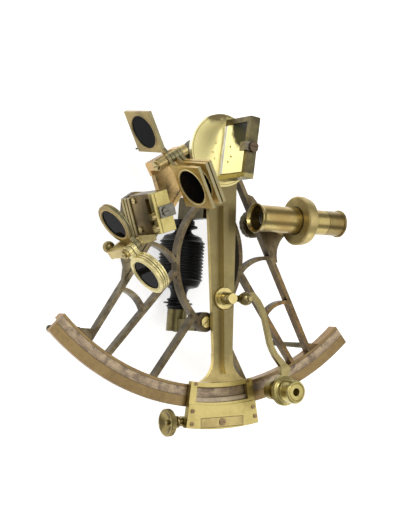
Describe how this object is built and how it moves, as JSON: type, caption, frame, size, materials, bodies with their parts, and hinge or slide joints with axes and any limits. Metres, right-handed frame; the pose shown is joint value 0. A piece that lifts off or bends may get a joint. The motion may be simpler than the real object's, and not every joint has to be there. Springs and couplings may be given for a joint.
{
  "type": "marine sextant",
  "caption": "Brass marine sextant lying on its feet: arc frame, swinging index arm with mirror and vernier, horizon glass, hinged shades, sighting telescope and turned grip.",
  "frame": {"origin": "middle of the flat tip of the foot under the index arm's pivot, in the plane of the three feet, on the pivot's axis", "axes": "+Z along the index pivot towards the instrument's front, +Y from the arc's middle up to the pivot, +X along the arc's chord towards the telescope's side"},
  "size_m": [0.2923, 0.2664, 0.1164],
  "materials": {
    "frame_brass": "dull, brown with age",
    "yellow_brass": "satin, worn",
    "dark_brass": "dull, dark olive",
    "screw_brass": "satin, worn",
    "silver": "tarnished silver, engraved",
    "ebony": "blackened, dull",
    "mirror": "silvered glass, slightly aged",
    "lens_glass": "clear",
    "filter_glass": "very dark blue-black",
    "clip_steel": "worn, silvery"
  },
  "bodies": {
    "frame": {"limb": "frame_brass", "scale_inlay": "silver", "frame": "frame_brass", "lower_feet": "screw_brass", "centre_bearing": "dark_brass", "apex_foot": "screw_brass", "handle_bracket_top": "dark_brass", "handle_bracket_bottom": "yellow_brass", "handle": "ebony", "handle_rod": "screw_brass", "frame_screws": "screw_brass", "index_shade_bracket": "frame_brass", "shade_pins": "screw_brass", "horizon_base": "yellow_brass", "horizon_frame": "yellow_brass", "horizon_glass": "mirror", "horizon_cap": "yellow_brass", "horizon_clip": "clip_steel", "horizon_screws": "screw_brass", "horizon_shade_bracket": "yellow_brass", "shade_knob": "yellow_brass", "stem_socket": "screw_brass"},
    "arm": {"index_arm": "yellow_brass", "centre_axis": "screw_brass", "axis_nut": "screw_brass", "vernier_frame": "yellow_brass", "vernier_scale": "silver", "arm_screws": "screw_brass", "slide_cover": "yellow_brass", "index_mirror_frame": "yellow_brass", "index_mirror_glass": "mirror", "index_mirror_clip": "clip_steel", "magnifier_post": "yellow_brass"},
    "telescope": {"rising_stem": "yellow_brass", "telescope_tube": "yellow_brass", "objective_lens": "lens_glass"},
    "eyepiece": {"draw_tube": "yellow_brass", "eye_lens": "lens_glass"},
    "stem_nut": {"rising_nut": "screw_brass"},
    "clamp": {"clamp_block": "frame_brass"},
    "clamp_knob": {"clamp_screw": "screw_brass"},
    "tangent": {"tangent_screw": "yellow_brass"},
    "loupe_arm": {"magnifier_arm": "yellow_brass"},
    "loupe_holder": {"magnifier_holder": "yellow_brass"},
    "loupe": {"magnifier_tube": "yellow_brass", "magnifier_lens": "lens_glass"},
    "index_shade_1": {"index_shade_1": "yellow_brass", "index_filter_1": "filter_glass"},
    "index_shade_2": {"index_shade_2": "yellow_brass", "index_filter_2": "filter_glass"},
    "index_shade_3": {"index_shade_3": "yellow_brass", "index_filter_3": "filter_glass"},
    "index_shade_4": {"index_shade_4": "yellow_brass", "index_filter_4": "filter_glass"},
    "horizon_shade_1": {"horizon_shade_1": "yellow_brass", "horizon_filter_1": "filter_glass"},
    "horizon_shade_2": {"horizon_shade_2": "yellow_brass", "horizon_filter_2": "filter_glass"},
    "horizon_shade_3": {"horizon_shade_3": "yellow_brass", "horizon_filter_3": "filter_glass"}
  },
  "joints": [
    {"name": "index_swing", "type": "hinge", "parent": "frame", "child": "arm", "pos_m": [0, 0, 0.062], "axis": [0, 0, 1], "range_deg": [-32, 28]},
    {"name": "stem_nut_spin", "type": "hinge", "parent": "frame", "child": "stem_nut", "pos_m": [0.07, -0.0516, 0.02], "axis": [0, 0, 1], "range_deg": [-1803, 1803]},
    {"name": "telescope_rise", "type": "slide", "parent": "frame", "child": "telescope", "axis": [0, 0, 1], "range_m": [-0.005, 0.005]},
    {"name": "eyepiece_draw", "type": "slide", "parent": "telescope", "child": "eyepiece", "axis": [0.9986, 0.0523, 0], "range_m": [0, 0.012]},
    {"name": "tangent_spin", "type": "hinge", "parent": "arm", "child": "tangent", "pos_m": [0.02047, -0.22065, 0.0594], "axis": [0.9957, 0.0924, 0], "range_deg": [-1443, 1443]},
    {"name": "clamp_travel", "type": "slide", "parent": "arm", "child": "clamp", "axis": [0.9957, 0.0924, 0], "range_m": [-0.004, 0.004]},
    {"name": "clamp_screw_spin", "type": "hinge", "parent": "clamp", "child": "clamp_knob", "pos_m": [0.01906, -0.20552, 0.047], "axis": [0, 0, 1], "range_deg": [-90, 0]},
    {"name": "magnifier_swing", "type": "hinge", "parent": "arm", "child": "loupe_arm", "pos_m": [0.01127, -0.12148, 0.076], "axis": [0, 0, 1], "range_deg": [-35, 20]},
    {"name": "magnifier_elbow", "type": "hinge", "parent": "loupe_arm", "child": "loupe_holder", "pos_m": [0.02687, -0.12048, 0.079], "axis": [0, 0, 1], "range_deg": [-12, 15]},
    {"name": "magnifier_focus", "type": "slide", "parent": "loupe_holder", "child": "loupe", "axis": [0, 0, 1], "range_m": [-0.0035, 0.006]},
    {"name": "index_shade_1_turn", "type": "hinge", "parent": "frame", "child": "index_shade_1", "pos_m": [-0.05318, -0.01377, 0.077], "axis": [0.831, 0.5563, 0], "range_deg": [-179, 0]},
    {"name": "index_shade_2_turn", "type": "hinge", "parent": "frame", "child": "index_shade_2", "pos_m": [-0.05318, -0.01377, 0.077], "axis": [0.831, 0.5563, 0], "range_deg": [0, 179]},
    {"name": "index_shade_3_turn", "type": "hinge", "parent": "frame", "child": "index_shade_3", "pos_m": [-0.05318, -0.01377, 0.077], "axis": [0.831, 0.5563, 0], "range_deg": [-179, 0]},
    {"name": "index_shade_4_turn", "type": "hinge", "parent": "frame", "child": "index_shade_4", "pos_m": [-0.05318, -0.01377, 0.077], "axis": [0.831, 0.5563, 0], "range_deg": [-179, 0]},
    {"name": "horizon_shade_1_turn", "type": "hinge", "parent": "frame", "child": "horizon_shade_1", "pos_m": [-0.0878, -0.0902, 0.085], "axis": [0.7431, 0.6691, 0], "range_deg": [-188, 0]},
    {"name": "horizon_shade_2_turn", "type": "hinge", "parent": "frame", "child": "horizon_shade_2", "pos_m": [-0.0878, -0.0902, 0.085], "axis": [0.7431, 0.6691, 0], "range_deg": [-188, 0]},
    {"name": "horizon_shade_3_turn", "type": "hinge", "parent": "frame", "child": "horizon_shade_3", "pos_m": [-0.0878, -0.0902, 0.085], "axis": [0.7431, 0.6691, 0], "range_deg": [0, 188]}
  ],
  "couplings": [
    {"joint": "stem_nut_spin", "follows": "telescope_rise", "rad_per_m": 6283.2},
    {"joint": "tangent_spin", "follows": "clamp_travel", "rad_per_m": 6283.2}
  ]
}
